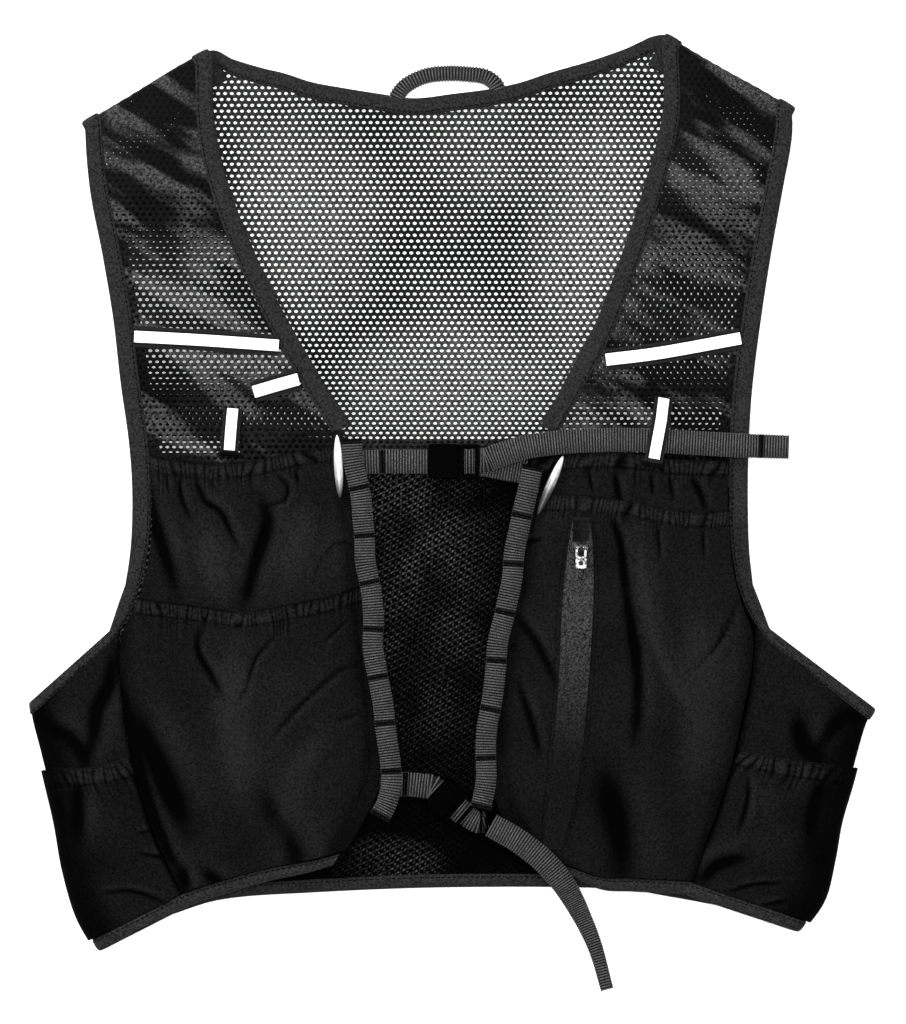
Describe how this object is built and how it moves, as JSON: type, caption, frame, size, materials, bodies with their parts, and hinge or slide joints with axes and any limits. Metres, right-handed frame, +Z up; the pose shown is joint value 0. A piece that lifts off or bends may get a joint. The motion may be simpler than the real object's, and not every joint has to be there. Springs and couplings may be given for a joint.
{
  "type": "running hydration vest",
  "caption": "Mesh running vest with stretch chest pockets, side pockets, a zipped pocket, ribbed rails and buckled chest and waist straps, laid flat.",
  "frame": {"origin": "centre of the bounding box, on the floor that the vest lies on", "axes": "+X towards the zipped side of the front, +Y from the hem to the shoulders, +Z up from the floor, front side up"},
  "size_m": [0.4436, 0.5018, 0.0383],
  "materials": {
    "mesh": "open warp-knit mesh, slight sheen",
    "cloth": "smooth stretch woven, matte",
    "binding": "folded elastic binding, fine rib",
    "webbing": "ribbed polyester webbing",
    "plastic": "moulded, satin",
    "reflective": "white reflective print on tape",
    "silver": "pale, glossy",
    "zip": "coated reverse coil tape",
    "metal": "bright plated"
  },
  "bodies": {
    "vest": {"back_mesh": "mesh", "front_mesh_left": "mesh", "front_mesh_right": "mesh", "rear_pocket_panel": "cloth", "upper_pocket_left": "cloth", "lower_pocket_left": "cloth", "upper_pocket_right": "cloth", "zip_pocket_right": "cloth", "side_panel_left": "cloth", "side_panel_right": "cloth", "side_pocket_left": "cloth", "side_pocket_right": "cloth", "zip_garage": "cloth", "neck_binding_left": "binding", "neck_binding_right": "binding", "neck_binding_back": "binding", "armhole_binding_left": "binding", "armhole_binding_right": "binding", "back_armhole_binding_left": "binding", "back_armhole_binding_right": "binding", "hem_binding_left": "binding", "hem_binding_right": "binding", "hem_binding_back": "binding", "rail_left": "webbing", "rail_right": "webbing", "chest_strap_left": "webbing", "chest_strap_right": "webbing", "chest_strap_tail": "webbing", "waist_strap_left": "webbing", "waist_strap_right": "webbing", "waist_strap_tail": "webbing", "hang_loop": "webbing", "chest_buckle_socket": "plastic", "chest_buckle_plug": "plastic", "waist_buckle_socket": "plastic", "waist_buckle_plug": "plastic", "waist_adjuster": "plastic", "reflective_strip_left": "reflective", "reflective_strip_right": "reflective", "reflective_tab_left": "reflective", "keeper_loop_left": "reflective", "keeper_loop_right": "reflective", "chest_toggle_left": "silver", "chest_toggle_right": "silver", "zip_tape": "zip", "zip_slider": "metal"},
    "zip_pull": {"zip_pull": "metal"}
  },
  "joints": [
    {"name": "zip_pull_hinge", "type": "hinge", "parent": "vest", "child": "zip_pull", "pos_m": [0.06594, -0.01806, 0.03613], "axis": [-1, 0, 0], "range_deg": [0, 150]}
  ]
}
